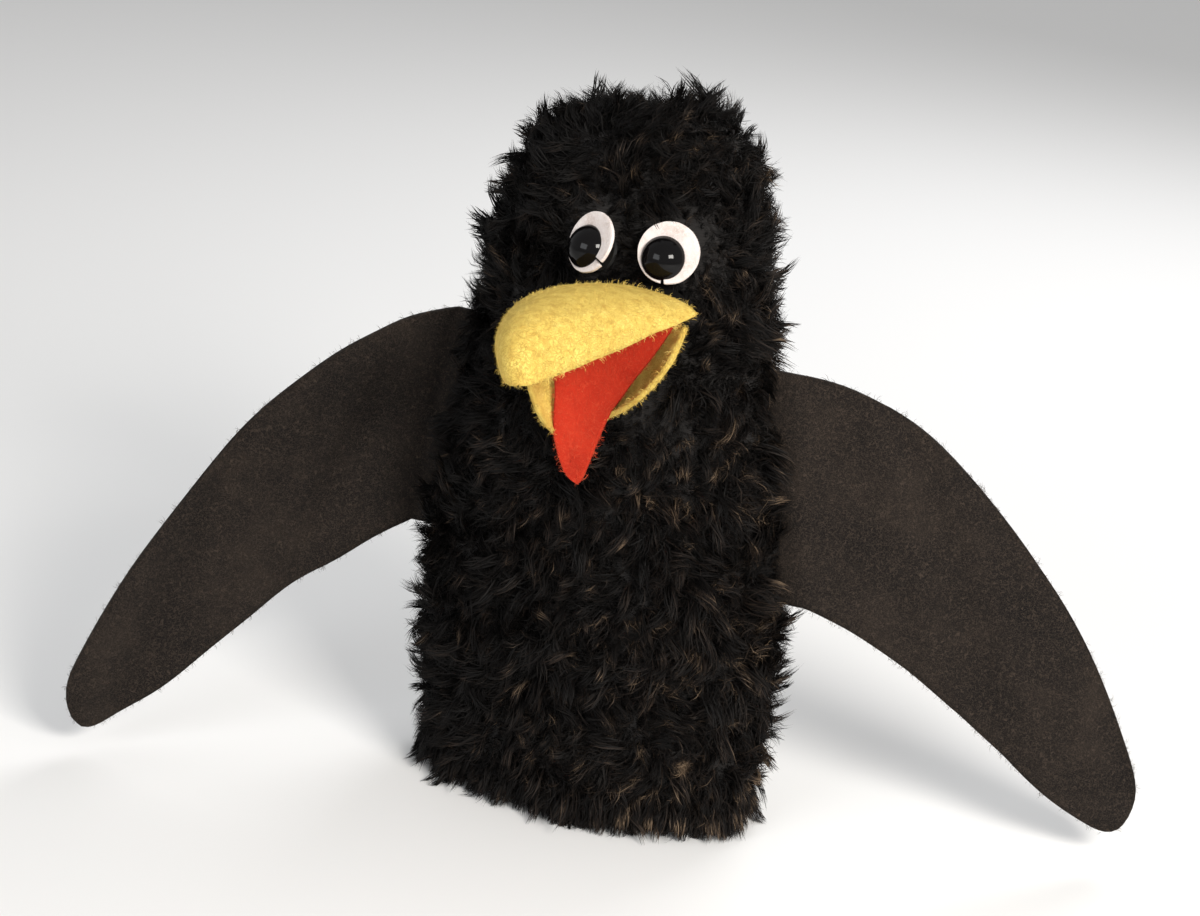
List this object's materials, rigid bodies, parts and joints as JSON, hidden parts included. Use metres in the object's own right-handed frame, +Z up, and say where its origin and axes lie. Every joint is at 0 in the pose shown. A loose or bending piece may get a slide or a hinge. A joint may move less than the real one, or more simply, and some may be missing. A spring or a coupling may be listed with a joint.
{
  "type": "moving mouth puppet",
  "caption": "Hand puppet of a shaggy black bird: a fur sleeve for the hand, a felt beak that opens, felt wings hinged at the side seams, and disc eyes with domed pupils.",
  "frame": {"origin": "centre of the hand opening, in the plane of the hem the puppet stands on", "axes": "+Z up the sleeve, the bird faces -Y, +X to the right of someone facing it"},
  "size_m": [0.4127, 0.1796, 0.2944],
  "materials": {
    "fur": "long shaggy pile, near black",
    "facing": "plain woven",
    "stuffing": "loose fibre",
    "eye_felt": "pressed felt",
    "pupil": "glossy",
    "washer": "moulded",
    "wing_felt": "soft felt",
    "red_felt": "soft felt",
    "yellow_felt": "soft felt",
    "board": "thin flexible sheet"
  },
  "bodies": {
    "body": {"fur_front_panel": "fur", "fur_back_panel": "fur", "hem_facing": "facing", "crown_padding": "stuffing", "eye_disc_left": "eye_felt", "eye_disc_right": "eye_felt", "pupil_left": "pupil", "pupil_right": "pupil", "eye_washer_left": "washer", "eye_washer_right": "washer", "left_wing_seam_tab": "wing_felt", "right_wing_seam_tab": "wing_felt", "mouth_seam_ring": "facing", "mouth_fold": "red_felt"},
    "upper_jaw": {"upper_beak_felt": "yellow_felt", "upper_mouth_lining": "red_felt", "upper_mouth_board": "board"},
    "lower_jaw": {"lower_beak_felt": "yellow_felt", "lower_mouth_lining": "red_felt", "lower_mouth_board": "board"},
    "left_wing": {"left_wing": "wing_felt"},
    "right_wing": {"right_wing": "wing_felt"}
  },
  "joints": [
    {"name": "upper_beak_lift", "type": "hinge", "parent": "body", "child": "upper_jaw", "pos_m": [0.007, -0.04833, 0.2155], "axis": [-0.9744, 0, -0.225], "range_deg": [-5, 18], "stiffness_Nm_per_rad": 0.3},
    {"name": "lower_beak_close", "type": "hinge", "parent": "body", "child": "lower_jaw", "pos_m": [0.007, -0.04833, 0.2155], "axis": [-0.9744, 0, -0.225], "range_deg": [0, 60], "stiffness_Nm_per_rad": 0.01},
    {"name": "left_wing_flap", "type": "hinge", "parent": "body", "child": "left_wing", "pos_m": [-0.08436, 0, 0.10017], "axis": [0.1564, 0, 0.9877], "range_deg": [-112, 38], "stiffness_Nm_per_rad": 0.02},
    {"name": "right_wing_flap", "type": "hinge", "parent": "body", "child": "right_wing", "pos_m": [0.08436, 0, 0.10017], "axis": [0.1564, 0, -0.9877], "range_deg": [-46, 104], "stiffness_Nm_per_rad": 0.02}
  ]
}
